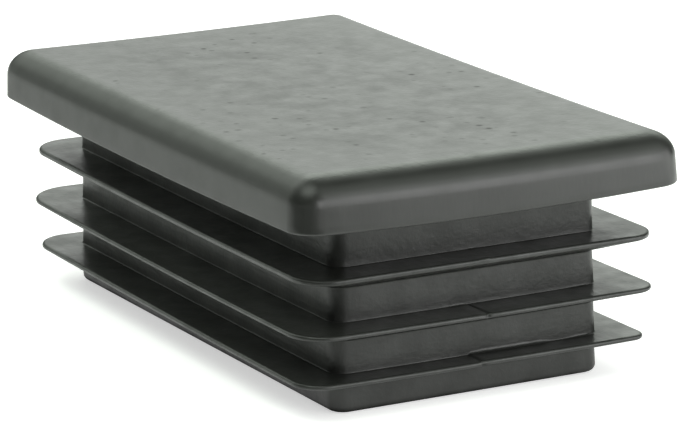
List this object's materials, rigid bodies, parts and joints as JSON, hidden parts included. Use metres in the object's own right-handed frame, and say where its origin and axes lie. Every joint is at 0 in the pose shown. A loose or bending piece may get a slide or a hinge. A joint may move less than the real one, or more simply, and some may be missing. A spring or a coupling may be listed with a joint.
{
  "type": "tube end cap",
  "caption": "Push-in end cap for rectangular tube: a flat cover plate with rounded edges over a hollow plug ringed by thin flexible gripping ribs.",
  "frame": {"origin": "centre of the underside of the head, the face that lands on the cut end of the tube", "axes": "+X along the long side, +Y along the short side, +Z out of the tube through the head; the plug lies below z = 0"},
  "size_m": [0.05, 0.03, 0.0177],
  "materials": {
    "black_plastic": "moulded polyethylene, near black, finely grained on the face of the head and smoother with a soft sheen on the plug and ribs"
  },
  "bodies": {
    "root": {"ribbed_insert": "black_plastic"}
  },
  "joints": []
}
